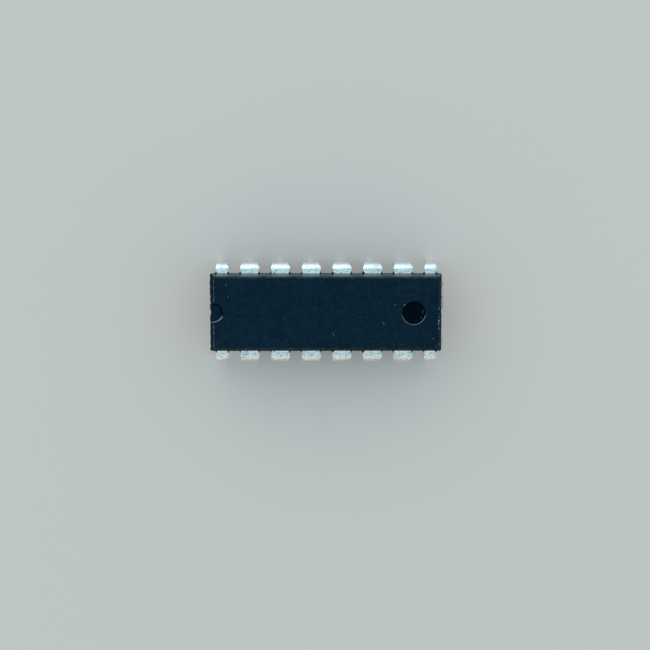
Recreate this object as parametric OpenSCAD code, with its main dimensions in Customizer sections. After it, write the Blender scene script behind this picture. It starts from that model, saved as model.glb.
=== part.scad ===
// Dual in-line package with sixteen leads: moulded body, formed leads, die pad, die and bond wires.
// X runs along the package with the pin 1 notch at -X, pin 1 is at -X -Y, and Z points up.
// The origin is the centre of the footprint, on the plane of the lead tips. Sizes are millimetres.

/* [Moulded body] */
// Width of the body at the lead band
body_w = 6.44; // [6.1:0.02:7.1]
// Body past the last pitch line at each end
end_margin = 0.66; // [0.5:0.02:0.9]
// Height of the body above the leads
upper_h = 1.65; // [1.4:0.05:1.9]
// Height of the body below the leads
lower_h = 1.4; // [1.2:0.05:1.8]
// Draft of the body walls, in degrees
draft_deg = 9; // [5:0.5:12]
// Radius of the upright corners
corner_r = 0.12; // [0.06:0.02:0.3]
// Radius round the rims of the top and bottom faces
rim_r = 0.12; // [0.05:0.01:0.25]

/* [Notch and ejector marks] */
// Radius of the half-round pin 1 notch at the top face
notch_r = 0.84; // [0.5:0.02:1]
// Depth of the pin 1 notch
notch_depth = 0.6; // [0.3:0.05:1]
// Radius of an ejector mark at the face
mark_r = 1; // [0.6:0.02:1.2]
// Depth of an ejector mark
mark_depth = 0.25; // [0.1:0.05:0.5]
// Distance of the ejector marks from the middle of the body
mark_x = 7.13; // [6:0.05:7.5]
// Narrowing of the notch and of the marks from rim to floor
wall_run = 0.14; // [0.05:0.01:0.2]

/* [Leads] */
// Distance between neighbouring leads
pitch = 2.54; // [2.5:0.01:2.6]
// Thickness of the lead frame strip
lead_t = 0.25; // [0.2:0.01:0.32]
// Width of a lead where it leaves the body
neck_w = 1.45; // [1.3:0.01:1.52]
// Width over the sheared dam bar stubs
stub_w = 1.6; // [1.54:0.01:1.78]
// Reach of an end lead from its pitch line toward the end of the body
end_reach = 0.25; // [0.24:0.01:0.38]
// Length of the neck between the body and the stubs
neck_l = 0.14; // [0.08:0.01:0.25]
// Length of the flat part outside the body
flat_l = 0.35; // [0.28:0.01:0.5]
// Inner radius of the bend
bend_r = 0.3; // [0.2:0.01:0.4]
// Angle of the bend that the stubs wrap over, in degrees
stub_deg = 62; // [45:1:75]
// Radius of the outer stub corners
stub_corner_r = 0.2; // [0.1:0.01:0.24]
// Width of the shoulder just below the bend
shoulder_top_w = 1.36; // [1.2:0.01:1.5]
// Width of the shoulder just above its step
shoulder_low_w = 1.16; // [0.9:0.01:1.2]
// Height of the step from shoulder to leg
step_h = 0.42; // [0.2:0.02:0.6]
// Height of the body above the seating plane
standoff = 0.51; // [0.38:0.01:0.8]
// Width of a leg
leg_w = 0.46; // [0.38:0.01:0.47]
// Length of a leg below the seating plane
leg_l = 3.2; // [2.9:0.05:3.8]
// Width of a leg tip
tip_w = 0.24; // [0.15:0.01:0.3]
// Height of the tapered leg tip
tip_h = 0.5; // [0.2:0.05:0.8]

/* [Lead fingers inside the body] */
// Length of the wide root of a finger inside the body
root_l = 0.75; // [0.6:0.01:0.8]
// Distance of the resin lock notches from the body wall
lock_inset = 0.25; // [0.2:0.01:0.3]
// Length of a resin lock notch along the lead
lock_l = 0.2; // [0.1:0.01:0.25]
// Depth of a resin lock notch into the lead
lock_d = 0.18; // [0.1:0.01:0.25]
// Width of a finger
finger_w = 0.45; // [0.35:0.01:0.5]
// Straight run of a finger before and after its bends
finger_run = 0.12; // [0.08:0.01:0.16]
// Clear gap between side fingers and beside the tie bars
finger_gap = 0.2; // [0.16:0.01:0.24]
// Distance between finger tips on a long side of the die pad
tip_pitch = 1.2; // [1.1:0.02:1.3]
// Gap from a finger tip to the die pad
tip_gap = 0.3; // [0.2:0.01:0.32]

/* [Die pad, die and bond wires] */
// Length of the die pad
pad_l = 4.4; // [4:0.1:5]
// Width of the die pad
pad_w = 2.8; // [2.4:0.05:2.9]
// Downset of the die pad below the leads
downset = 0.2; // [0.1:0.01:0.3]
// Width of a tie bar
tie_w = 0.3; // [0.2:0.01:0.36]
// Straight stretch of a tie bar before its slope
tie_run = 0.4; // [0.2:0.05:0.8]
// Length of the sloped part of a tie bar
tie_slope_l = 0.5; // [0.3:0.05:0.8]
// Length of the die
die_l = 2.6; // [2:0.1:3.2]
// Width of the die
die_w = 2; // [1.6:0.1:2.3]
// Thickness of the die
die_h = 0.3; // [0.2:0.02:0.38]
// Distance of the bond balls from the edge of the die
bond_inset = 0.14; // [0.1:0.01:0.2]
// Diameter of a bond wire
wire_d = 0.033; // [0.025:0.001:0.05]
// Diameter of a bond ball
ball_d = 0.09; // [0.07:0.005:0.12]
// Height of a bond ball
ball_h = 0.03; // [0.02:0.005:0.04]
// Height of a wire loop above the line between its ends
loop_h = 0.3; // [0.2:0.02:0.45]
// Length of the wire end that lies on a finger
stitch_l = 0.12; // [0.08:0.01:0.2]

/* [Hidden] */
row_count = 8;
lead_count = 2 * row_count;
half_count = row_count / 2;
last_rank = half_count - 1;

// Lengths along the package
row_l = (row_count - 1) * pitch;
body_l = row_l + 2 * end_margin;

// Heights above the lead tips
seat_z = leg_l;
body_z = seat_z + standoff;
lead_z = body_z + lower_h;
lead_top_z = lead_z + lead_t;
top_z = lead_top_z + upper_h;
pad_z = lead_z - downset;
die_z = pad_z + lead_t;
die_top_z = die_z + die_h;

// Distances from the centre line of the package
wall_v = body_w / 2;
stub_v = wall_v + neck_l;
bend_v = wall_v + flat_l;
root_v = wall_v - root_l;
long_tip_v = pad_w / 2 + tip_gap;
side_tip_x = pad_l / 2 + tip_gap;

// Bend of a lead, and a radius clear of it for cutting it to shape
bend_outer_r = bend_r + lead_t;
bend_axis_z = lead_z - bend_r;
clear_r = 2 * bend_outer_r;
leg_inner_v = bend_v + bend_r;
leg_outer_v = bend_v + bend_outer_r;
stub_step = (stub_w - neck_w) / 2;

// Walls of the body
draft_run = tan(draft_deg);
upper_inset = upper_h * draft_run;
lower_inset = lower_h * draft_run;
rim_set = rim_r * tan((90 - draft_deg) / 2);
slice_h = 0.01;
rim_steps = 4;
corner_steps = 4;
recess_fn = 48;
bend_steps = 10;

// Recesses cut a little past the face, at the slope of their walls
cut_over = rim_r;

// Wire sections have six sides and a flat underneath
wire_sides = 6;
wire_flat = wire_d / 2 * cos(180 / wire_sides);
loop_steps = 8;

resin = [0.09, 0.11, 0.14];
tin = [0.84, 0.87, 0.88];
copper = [0.80, 0.52, 0.36];
silicon = [0.42, 0.44, 0.52];
gold = [0.95, 0.77, 0.35];

// Points of a path set sideways by w, mitred at each knee
function unit(v) = v / norm(v);
function left_of(d) = [-d[1], d[0]];
function beside(path, w) = [
    for (i = [0:len(path) - 1])
    let (
        before = unit(path[max(i, 1)] - path[max(i, 1) - 1]),
        after = unit(path[min(i, len(path) - 2) + 1] - path[min(i, len(path) - 2)]),
        mitre = unit(left_of(before) + left_of(after))
    )
    path[i] + mitre * w / (mitre * left_of(before))
];
function reversed(list) = [for (i = [len(list) - 1:-1:0]) list[i]];
function ribbon(path, w) = concat(beside(path, w / 2), reversed(beside(path, -w / 2)));

// Points of an arc about a centre
function arc(centre, r, from_deg, to_deg, steps) = [
    for (i = [0:steps])
    let (a = from_deg + (to_deg - from_deg) * i / steps)
    centre + r * [cos(a), sin(a)]
];

// Rank of a lead from the middle of its row, its pitch line and its reach away from the middle
function rank(n) = let (k = (n - 1) % row_count) k < half_count ? last_rank - k : k - half_count;
function pitch_x(j) = (j + 0.5) * pitch;
function is_end(j) = j == last_rank;
function out_reach(j, w) = is_end(j) ? end_reach : w / 2;
function neck_out(j) = out_reach(j, stub_w) - stub_step;
function neck_in() = neck_w / 2;
function root_x(j) = pitch_x(j) + (neck_out(j) - neck_in()) / 2;

// Half of the ranks end on the long side of the die pad and the others beside a tie bar
function on_long_side(j) = j < half_count / 2;
function side_tip_v(j) = tie_w / 2 + finger_gap + finger_w / 2 + (last_rank - j) * (finger_w + finger_gap);
function finger_path(j) = let (x = root_x(j), v = root_v - finger_run)
    on_long_side(j) ?
        [
            [x, -(root_v + lock_inset)],
            [x, -v],
            [(j + 0.5) * tip_pitch, -(long_tip_v + finger_run)],
            [(j + 0.5) * tip_pitch, -long_tip_v]
        ]
    :
        [
            [x, -(root_v + lock_inset)],
            [x, -v],
            [x - (v - side_tip_v(j)), -side_tip_v(j)],
            [side_tip_x, -side_tip_v(j)]
        ];

// The sixteen places: the +X half of the -Y row, mirrored to -X and turned to the +Y row
module place(n) {
    rotate([0, 0, n > row_count ? 180 : 0])
        mirror([(n - 1) % row_count < half_count ? 1 : 0, 0, 0])
            children();
}

module lock_notch(x) {
    translate([x - lock_d, -(wall_v - lock_inset)])
        square([2 * lock_d, lock_l]);
}

module finger_outline(j) {
    difference() {
        translate([pitch_x(j) - neck_in(), -bend_v])
            square([neck_in() + neck_out(j), bend_v - root_v]);
        lock_notch(pitch_x(j) - neck_in());
        lock_notch(pitch_x(j) + neck_out(j));
    }
    polygon(ribbon(finger_path(j), finger_w));
}

// Neck, root and finger of a lead, from the bend to the tip beside the die pad
module lead_finger(j) {
    translate([0, 0, lead_z])
        linear_extrude(lead_t)
            finger_outline(j);
}

// Side view of the strip outside the body: flat part, bend and leg
module strip_profile() {
    axis = [-bend_v, bend_axis_z];
    polygon(concat(
        [[-stub_v, lead_top_z]],
        arc(axis, bend_outer_r, 90, 180, bend_steps),
        [[-leg_outer_v, 0], [-leg_inner_v, 0]],
        arc(axis, bend_r, 180, 90, bend_steps),
        [[-stub_v, lead_z]]
    ));
}

// Solid with a side view drawn across the package, from x along the row
module along_row(x, w) {
    translate([x, 0, 0])
        rotate([90, 0, 90])
            linear_extrude(w)
                children();
}

// Plan of the stubs, with rounded outer corners over the bend
module stub_plan(x, w) {
    corner_v = bend_v + bend_outer_r * sin(stub_deg) - stub_corner_r;
    polygon(concat(
        [[x, 0]],
        arc([x + stub_corner_r, -corner_v], stub_corner_r, 180, 270, rim_steps),
        arc([x + w - stub_corner_r, -corner_v], stub_corner_r, 270, 360, rim_steps),
        [[x + w, 0]]
    ));
}

// Side view of the room that the stubs take, ending square across the bent strip
module stub_wedge() {
    polygon([
        [0, bend_axis_z],
        [-bend_v, bend_axis_z],
        [-bend_v - clear_r * sin(stub_deg), bend_axis_z + clear_r * cos(stub_deg)],
        [0, bend_axis_z + clear_r]
    ]);
}

module stub_room(x, w) {
    intersection() {
        translate([0, 0, bend_axis_z])
            linear_extrude(clear_r)
                stub_plan(x, w);
        along_row(x, w)
            stub_wedge();
    }
}

// Shoulder, step, leg and tapered tip, drawn as seen from the side of the package
module leg_outline(j) {
    inner = [
        [-tip_w / 2, 0],
        [-leg_w / 2, tip_h],
        [-leg_w / 2, seat_z],
        [-shoulder_low_w / 2, seat_z + step_h],
        [-shoulder_top_w / 2, bend_axis_z],
        [-shoulder_top_w / 2, lead_top_z]
    ];
    outer = [
        [out_reach(j, shoulder_top_w), lead_top_z],
        [out_reach(j, shoulder_top_w), bend_axis_z],
        [out_reach(j, shoulder_low_w), seat_z + step_h],
        [leg_w / 2, seat_z],
        [leg_w / 2, tip_h],
        [tip_w / 2, 0]
    ];
    translate([pitch_x(j), 0])
        polygon(concat(inner, outer));
}

module lead_outside(j) {
    x = pitch_x(j) - stub_w / 2;
    w = stub_w / 2 + out_reach(j, stub_w);
    intersection() {
        along_row(x, w)
            strip_profile();
        union() {
            stub_room(x, w);
            rotate([90, 0, 0])
                linear_extrude(bend_v + clear_r)
                    leg_outline(j);
        }
    }
}

module lead(n) {
    color(tin)
        place(n) {
            lead_finger(rank(n));
            lead_outside(rank(n));
        }
}

// Side view of one tie bar, from the die pad up its slope to the end of the body
module tie_outline() {
    slope_x = pad_l / 2 + tie_run;
    path = [
        [0, pad_z],
        [slope_x, pad_z],
        [slope_x + tie_slope_l, lead_z],
        [body_l / 2, lead_z]
    ];
    polygon(concat(path, reversed([for (p = path) p + [0, lead_t]])));
}

module die_pad() {
    color(copper) {
        translate([-pad_l / 2, -pad_w / 2, pad_z])
            cube([pad_l, pad_w, lead_t]);
        for (side = [0, 1])
            mirror([side, 0, 0])
                translate([0, tie_w / 2, 0])
                    rotate([90, 0, 0])
                        linear_extrude(tie_w)
                            tie_outline();
    }
}

module silicon_die() {
    color(silicon)
        translate([-die_l / 2, -die_w / 2, die_z])
            cube([die_l, die_w, die_h]);
}

// Both ends of a wire: the balls, spread evenly along the die, and the stitch near the tip of the finger
function spread(reach, i) = reach * (i + 0.5) / (half_count / 2);
function ball_at(j) = let (x = die_l / 2 - bond_inset, v = die_w / 2 - bond_inset)
    on_long_side(j) ? [spread(x, j), -v] : [x, -spread(v, last_rank - j)];
function stitch_at(j) = on_long_side(j) ?
    [(j + 0.5) * tip_pitch, -(long_tip_v + stitch_l)] :
    [side_tip_x + stitch_l, -side_tip_v(j)];

// Stations of a wire: distance along, height, slope in degrees and radius
function wire_stations(span) = let (
        low_z = die_top_z + ball_h,
        end_z = lead_top_z + wire_flat,
        run = span - stitch_l,
        height = function (t) low_z + (end_z - low_z) * t + 4 * loop_h * t * (1 - t),
        slope = function (t) atan((end_z - low_z + 4 * loop_h * (1 - 2 * t)) / run)
    )
    concat(
        [for (foot = [[die_top_z, ball_d], [low_z, ball_d], [low_z, wire_d]]) [0, foot[0], 90, foot[1] / 2]],
        [for (i = [1:loop_steps - 1]) let (t = i / loop_steps) [run * t, height(t), slope(t), wire_d / 2]],
        [[run, end_z, slope(1) / 2, wire_d / 2], [span, end_z, 0, wire_d / 2]]
    );

function ring(start, along, station) = let (across = left_of(along))
    [
        for (i = [0:wire_sides - 1])
        let (
            a = i * 360 / wire_sides,
            side = station[3] * cos(a),
            up = station[3] * sin(a),
            plan = start + along * (station[0] - up * sin(station[2])) + across * side
        )
        [plan[0], plan[1], station[1] + up * cos(station[2])]
    ];

module bond_wire(n) {
    start = ball_at(rank(n));
    reach = stitch_at(rank(n)) - start;
    stations = wire_stations(norm(reach));
    last = len(stations) - 1;
    points = [for (s = stations) each ring(start, unit(reach), s)];
    first_cap = [for (i = [0:wire_sides - 1]) i];
    last_cap = [for (i = [wire_sides - 1:-1:0]) last * wire_sides + i];
    skin = [
        for (s = [0:last - 1], i = [0:wire_sides - 1])
        let (a = s * wire_sides + i, b = s * wire_sides + (i + 1) % wire_sides)
        each [[a, b + wire_sides, b], [a, a + wire_sides, b + wire_sides]]
    ];
    color(gold)
        place(n)
            polyhedron(points, concat([first_cap, last_cap], skin));
}

// Profile of the body walls from the bottom face to the top face: inset from the lead band, and height
function wall_profile() = let (
        bottom_axis = [-(lower_inset + rim_set), body_z + rim_r],
        top_axis = [-(upper_inset + rim_set), top_z - rim_r]
    )
    [
        for (p = concat(
            arc(bottom_axis, rim_r, -90, -draft_deg, rim_steps),
            [[0, lead_z], [0, lead_top_z]],
            arc(top_axis, rim_r, draft_deg, 90, rim_steps)
        ))
        [-p[0], p[1]]
    ];

// Plan of the body, set in from the lead band, with rounded corners
module body_plan(inset) {
    x = body_l / 2 - inset - corner_r;
    v = wall_v - inset - corner_r;
    polygon([
        for (k = [0:3])
        each arc([(k == 0 || k == 3 ? x : -x), (k < 2 ? v : -v)], corner_r, k * 90, (k + 1) * 90, corner_steps)
    ]);
}

// The walls lean in both ways from the lead band, so the block is the hull of thin slices of it
module body_block() {
    hull()
        for (p = wall_profile())
            translate([0, 0, p[1] - (p[1] > lead_z ? slice_h : 0)])
                linear_extrude(slice_h)
                    body_plan(p[0]);
}

// Recess that opens upward, narrower at its floor
module recess(r, depth) {
    translate([0, 0, -depth])
        cylinder(h = depth + cut_over, r1 = r - wall_run, r2 = r + wall_run * cut_over / depth, $fn = recess_fn);
}

module moulded_body() {
    color(resin)
        difference() {
            body_block();
            translate([-(body_l / 2 - upper_inset), 0, top_z])
                recess(notch_r, notch_depth);
            translate([mark_x, 0, top_z])
                recess(mark_r, mark_depth);
            for (x = [-mark_x, mark_x])
                translate([x, 0, body_z])
                    mirror([0, 0, 1])
                        recess(mark_r, mark_depth);
            die_pad();
            silicon_die();
            for (n = [1:lead_count]) {
                place(n)
                    lead_finger(rank(n));
                bond_wire(n);
            }
        }
}

moulded_body();
die_pad();
silicon_die();
for (n = [1:lead_count]) {
    lead(n);
    bond_wire(n);
}
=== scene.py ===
"""Dresses a packed sixteen-lead dual in-line chip for rendering, as a set of Blender operators."""

import math
import random

import bmesh
import bpy
from bpy.props import FloatProperty, FloatVectorProperty, IntProperty, PointerProperty
from mathutils import Matrix, Vector, noise


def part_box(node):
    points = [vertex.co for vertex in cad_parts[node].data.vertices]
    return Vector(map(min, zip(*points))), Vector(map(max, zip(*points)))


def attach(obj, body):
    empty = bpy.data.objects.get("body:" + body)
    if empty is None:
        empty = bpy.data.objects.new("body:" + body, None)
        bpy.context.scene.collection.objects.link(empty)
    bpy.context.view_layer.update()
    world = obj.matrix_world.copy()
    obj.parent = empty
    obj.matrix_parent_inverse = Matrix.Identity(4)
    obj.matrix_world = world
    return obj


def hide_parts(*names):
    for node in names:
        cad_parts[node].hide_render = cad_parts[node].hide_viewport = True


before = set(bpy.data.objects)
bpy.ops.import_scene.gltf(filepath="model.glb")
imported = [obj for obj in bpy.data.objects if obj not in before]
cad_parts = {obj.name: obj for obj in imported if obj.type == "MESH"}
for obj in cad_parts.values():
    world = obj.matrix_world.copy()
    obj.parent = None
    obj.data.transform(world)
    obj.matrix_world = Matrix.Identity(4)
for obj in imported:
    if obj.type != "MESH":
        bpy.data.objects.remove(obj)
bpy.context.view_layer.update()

bl_info = {
    "name": "Dual In-line Chip",
    "version": (1, 0, 0),
    "blender": (4, 5, 0),
    "location": "3D View > Sidebar > Chip",
    "description": "Builds a sixteen-lead dual in-line chip with its finishes and a plain stage",
    "category": "Add Mesh",
}

MM = 0.001
# Leads in a row
ROW = 8
LEADS = range(1, 2 * ROW + 1)


def cad_mm(node):
    """Lowest and highest corner of a CAD node, in millimetres."""
    low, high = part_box(node)
    return low / MM, high / MM


BODY_LOW, BODY_HIGH = cad_mm("moulded_body")
LEAD_HIGH = cad_mm("lead_7")[1]


def length(name, description, mm, low=0.0, high=50.0):
    """A length property whose default is given in millimetres."""
    return FloatProperty(
        name=name,
        description=description,
        default=mm * MM,
        min=low * MM,
        max=high * MM,
        precision=5,
        unit="LENGTH",
        subtype="DISTANCE",
    )


def colour(name, description, value):
    """A linear colour property."""
    return FloatVectorProperty(
        name=name, description=description, default=value, min=0, max=1, size=3, subtype="COLOR"
    )


def angle(name, description, degrees):
    """An angle property whose default is given in degrees."""
    return FloatProperty(
        name=name, description=description, default=math.radians(degrees), unit="ROTATION", subtype="ANGLE"
    )


class ChipBodySettings(bpy.types.PropertyGroup):
    """Sizes and colours of the moulded body."""

    draft: angle("Draft", "Lean of the body walls", 9)
    rim: length("Rim Radius", "Rounding where the walls meet the faces", 0.17)
    corner: length("Corner Radius", "Rounding of the upright corners", 0.12)
    band: length("Band Height", "Height of the parting band, the thickness of the lead frame", 0.25)
    band_base: length("Band Base", "Height of the parting band above the underside", 1.4)
    flash: length("Flash", "Stand of the parting band from the walls", 0.012)
    tie: length("Tie Bar Width", "Width of the sheared tie bars in the ends", 0.3)
    burr: length("End Burr", "Stand of the torn flash at the -X end", 0.09)
    notch_radius: length("Notch Radius", "Radius of the half-round notch at the top face", 0.84)
    notch_depth: length("Notch Depth", "Depth of the half-round notch", 0.6)
    mark_radius: length("Mark Radius", "Radius of an ejector mark at the face", 1.0)
    mark_depth: length("Mark Depth", "Depth of an ejector mark", 0.25)
    mark_offset: length("Mark Offset", "Distance of the ejector marks from the middle", 7.13)
    mark_run: length("Mark Lean", "Narrowing of an ejector mark from rim to floor", 0.14)
    notch_run: length("Notch Lean", "Narrowing of the notch from rim to floor", 0.18)
    lip: length("Lip Radius", "Rounding of a recess where it meets the face", 0.07)
    dark: colour("Dark Resin", "Colour of the darker grains", (0.0002, 0.0022, 0.0080))
    light: colour("Light Resin", "Colour of the lighter grains", (0.0026, 0.0150, 0.0315))
    # Scuffs, filler flecks and rubbed rims take this colour, and so do painted highlights: the rim crescents,
    # the rim line and a glint
    pale_and_highlight: colour("Scuffed And Highlight Resin", "Colour of scuffs and rubbed rims", (0.16, 0.24, 0.30))
    # Partly painted highlight: this colour also stands in for the lit band at the +X end
    broken: colour("Broken Flash And Highlight", "Colour of freshly broken flash", (0.50, 0.46, 0.42))
    # Painted reflection: the bluish sheen mixed into the smooth +Y wall
    wall: colour("Painted Wall Sheen", "Colour of the smooth +Y wall", (0.003, 0.020, 0.040))
    # Partly painted shade: the near-black of the polished marks also stands in for the shade and dark
    # reflection in them
    floor: colour("Mark Floor And Shade", "Colour of the polished ejector marks", (0.0006, 0.0016, 0.0045))


class ChipLeadSettings(bpy.types.PropertyGroup):
    """Sizes and colours of the tinned leads."""

    pitch: length("Pitch", "Distance between neighbouring leads", 2.54)
    strip: length("Strip Thickness", "Thickness of the lead frame strip", 0.25)
    neck: length("Neck Width", "Width where the lead leaves the body", 1.45)
    stub: length("Stub Width", "Width over the sheared stubs", 1.575)
    end_reach: length("End Reach", "Outward reach of an end lead from its pitch line", 0.25)
    end_draw: length("End Draw-in", "How far an end lead's outer side is drawn in below its stub", 0.05)
    stub_start: length("Stub Start", "Distance from the centre line to the stubs", 3.39)
    bend_start: length("Bend Start", "Distance from the centre line to the bend", 3.57)
    bend_radius: length("Bend Radius", "Inner radius of the bend", 0.3)
    press_mark: length("Press Mark", "Distance from the centre line to the marks of the bending tool", 3.48)
    stub_angle: angle("Stub Angle", "Angle of the bend where the stubs begin to round off", 19)
    stub_corner: length("Stub Corner", "Rounding of the stub corners in the bend", 0.15)
    corner_bias: length("Corner Bias", "How much rounder the corners toward the notch are", 0.03)
    stub_shift: length("Stub Shift", "How far the stubs are sheared off centre, away from the notch", 0.025)
    waist: length("Waist", "Width where the stubs end in the bend", 1.40)
    shoulder_top: length("Shoulder Top", "Width of the shoulder at the end of the bend", 1.24)
    shoulder_low: length("Shoulder Low", "Width of the shoulder above its step", 1.16)
    step: length("Step Height", "Height of the step from shoulder to leg", 0.42)
    seat: length("Leg Length", "Height of the seating plane above the tips", 3.2)
    leg: length("Leg Width", "Width of a leg", 0.46)
    tip: length("Tip Width", "Width of a leg tip", 0.24)
    tip_height: length("Tip Height", "Height of the tapered tip", 0.5)
    upper_edge: length("Upper Edge", "Rounding of the strip's upper edges", 0.022)
    lower_edge: length("Lower Edge", "Rounding of the strip's lower edges", 0.02)
    splay: angle("Splay", "Largest lean of a leg from upright", 0.3)
    # The two row colours are a painted reflection: bluish tin on the +Y row for the sky light it mirrors,
    # greyer tin on the -Y row for the dimmer light in front
    tin: colour("Tin", "Colour of the clean tin plate", (0.82, 0.94, 0.97))
    front_row_tin: colour("Front Row Tin", "Colour of the tin plate on the more handled -Y row", (0.86, 0.88, 0.85))
    dull: colour("Dull Tin", "Colour of rubbed and oxidised spots", (0.13, 0.28, 0.31))
    roughness: FloatProperty(
        name="Roughness", description="Roughness of the tin", default=0.3, min=0, max=1, subtype="FACTOR"
    )
    seed: IntProperty(name="Seed", description="Seed of the small differences between leads", default=16)


class ChipInnerSettings(bpy.types.PropertyGroup):
    """Colours of the parts inside the body."""

    copper: colour("Copper", "Colour of the die pad's copper alloy", (0.72, 0.42, 0.28))
    plating: colour("Spot Plating", "Colour of the silver spot under the die", (0.86, 0.86, 0.82))
    silicon: colour("Silicon", "Colour of the die", (0.10, 0.11, 0.15))
    tracks: colour("Tracks", "Colour of the metal tracks on the die", (0.55, 0.50, 0.44))
    gold: colour("Gold", "Colour of the bond wires", (0.90, 0.62, 0.22))


class ChipStageSettings(bpy.types.PropertyGroup):
    """Floor, lamps and camera."""

    floor: colour("Floor", "Colour of the floor", (0.59, 0.59, 0.57))
    floor_size: length("Floor Size", "Side of the floor", 3000, 100, 10000)
    back_light: colour("Back Light", "Colour of the soft light from behind the chip", (1.0, 1.0, 1.0))
    top_light: colour("Top Light", "Colour of the soft light from above", (0.57, 0.81, 0.91))
    front_light: colour("Front Light", "Colour of the soft light from in front", (0.80, 0.80, 0.78))
    key: FloatProperty(name="Key", description="Power of the large lamp", default=0.465, unit="POWER")
    lens: FloatProperty(name="Lens", description="Focal length", default=80.14, min=10, unit="CAMERA")


class NodeMaker:
    """Adds nodes to one material or world. An input takes a number, a colour or another node's output."""

    def __init__(self, owner):
        self.owner = owner
        owner.use_nodes = True
        self.tree = owner.node_tree
        self.shader = self.tree.nodes.get("Principled BSDF")

    def plug(self, socket, value):
        if isinstance(value, bpy.types.NodeSocket):
            self.tree.links.new(value, socket)
        elif socket.type == "RGBA":
            socket.default_value = (*value[:3], 1.0)
        else:
            socket.default_value = value

    def node(self, kind, inputs, output=0, **options):
        made = self.tree.nodes.new(kind)
        for option, value in options.items():
            setattr(made, option, value)
        for key, value in inputs.items():
            self.plug(made.inputs[key], value)
        return made.outputs[output]

    def math(self, operation, a, b=0.0, c=0.0):
        return self.node("ShaderNodeMath", {0: a, 1: b, 2: c}, operation=operation)

    def times(self, a, b):
        return self.math("MULTIPLY", a, b)

    def apart(self, a, b):
        """How far apart two numbers are."""
        return self.math("ABSOLUTE", self.math("SUBTRACT", a, b))

    def largest(self, values):
        total = values[0]
        for value in values[1:]:
            total = self.math("MAXIMUM", total, value)
        return total

    def vector(self, operation, a, b, output=0):
        return self.node("ShaderNodeVectorMath", {0: a, 1: b}, output, operation=operation)

    def size(self, vector):
        return self.vector("LENGTH", vector, (0, 0, 0), "Value")

    def millimetres(self):
        """The place on the object in millimetres."""
        place = self.node("ShaderNodeTexCoord", {}, "Object")
        return self.vector("MULTIPLY", place, (1 / MM, 1 / MM, 1 / MM))

    def split(self, vector):
        return self.node("ShaderNodeSeparateXYZ", {0: vector}).node.outputs

    def noise(self, vector, scale, detail=3.0, roughness=0.55, distortion=0.0):
        inputs = {"Vector": vector, "Scale": scale, "Detail": detail, "Roughness": roughness}
        return self.node("ShaderNodeTexNoise", {**inputs, "Distortion": distortion})

    def cells(self, vector, scale, distance="EUCLIDEAN"):
        """Outputs of scattered cells: the distance from their middles and a colour for each."""
        inputs = {"Vector": vector, "Scale": scale}
        return self.node("ShaderNodeTexVoronoi", inputs, distance=distance).node.outputs

    def ramp(self, value, start, end, low=0.0, high=1.0):
        """A soft step from low at start to high at end."""
        inputs = {0: value, 1: start, 2: end, 3: low, 4: high}
        return self.node("ShaderNodeMapRange", inputs, interpolation_type="SMOOTHSTEP")

    def blend(self, factor, a, b):
        return self.node("ShaderNodeMix", {0: factor, 6: a, 7: b}, 2, data_type="RGBA")

    def bump(self, height, depth_mm, normal=None):
        inputs = {"Height": height, "Distance": depth_mm * MM, "Strength": 1.0}
        if normal is not None:
            inputs["Normal"] = normal
        return self.node("ShaderNodeBump", inputs)

    def set(self, **sockets):
        """Sets the shader's sockets, with underscores for the spaces in their names."""
        for name, value in sockets.items():
            self.plug(self.shader.inputs[name.replace("_", " ")], value)
        return self.owner


def new_material(name):
    return NodeMaker(bpy.data.materials.new(name))


def arc_points(centre, radius, start, end, steps):
    """Points of an arc in a plane, angles in degrees."""
    points = []
    for i in range(steps + 1):
        a = math.radians(start + (end - start) * i / steps)
        points.append(Vector((centre[0] + radius * math.cos(a), centre[1] + radius * math.sin(a))))
    return points


# Share of a side that one rounded corner may take, and the shortest rounding drawn
CORNER_SHARE = 0.48
SHORTEST_CORNER = 1e-4


def round_corner(before, corner, after, radius, steps):
    """Points of the arc that rounds one corner of an outline."""
    to_before = (before - corner).normalized()
    to_after = (after - corner).normalized()
    half = to_before.angle(to_after) / 2
    reach = radius / math.tan(half)
    room = CORNER_SHARE * min((before - corner).length, (after - corner).length)
    if reach > room:
        reach = room
        radius = reach * math.tan(half)
    if reach < SHORTEST_CORNER:
        return [corner]
    centre = corner + (to_before + to_after).normalized() * radius / math.sin(half)
    first = corner + to_before * reach - centre
    last = corner + to_after * reach - centre
    turn = first.angle_signed(last)
    return [centre + Matrix.Rotation(-turn * i / steps, 2) @ first for i in range(steps + 1)]


def rounded(corners, closed=True, steps=4):
    """An outline with each corner (x, y, radius) rounded. A radius of nought keeps the corner."""
    points = [Vector(c[:2]) for c in corners]
    made = []
    for i, corner in enumerate(corners):
        at_end = i in (0, len(corners) - 1) and not closed
        if corner[2] == 0 or at_end:
            made.append(points[i])
        else:
            after = points[(i + 1) % len(points)]
            made += round_corner(points[i - 1], points[i], after, corner[2], steps)
    return made


# Longest mitre of an inset outline, as the least cosine of its half angle
LEAST_MITRE_COSINE = 0.3


def mitre(before, after):
    """Step to the left at a corner between two directions that sets both of its sides off by one."""
    left = Vector((-before.y - after.y, before.x + after.x)).normalized()
    return left / max(LEAST_MITRE_COSINE, left.dot(Vector((-before.y, before.x))))


def inset(outline, distance):
    """A closed counter-clockwise outline set inward, mitred at its corners."""
    made = []
    count = len(outline)
    for i, point in enumerate(outline):
        before = (point - outline[i - 1]).normalized()
        after = (outline[(i + 1) % count] - point).normalized()
        made.append(point + distance * mitre(before, after))
    return made


def add_ring(bm, points):
    return [bm.verts.new(p) for p in points]


def bridge(bm, lower, upper, material=0):
    """Faces between two rings of as many points."""
    count = len(lower)
    for i in range(count):
        j = (i + 1) % count
        face = bm.faces.new((lower[i], lower[j], upper[j], upper[i]))
        face.material_index = material


# Sides of a round recess, and how far below the face the finish of its wall ends
RECESS_SIDES = 96
RECESS_LIP_DEPTH = 0.02


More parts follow.
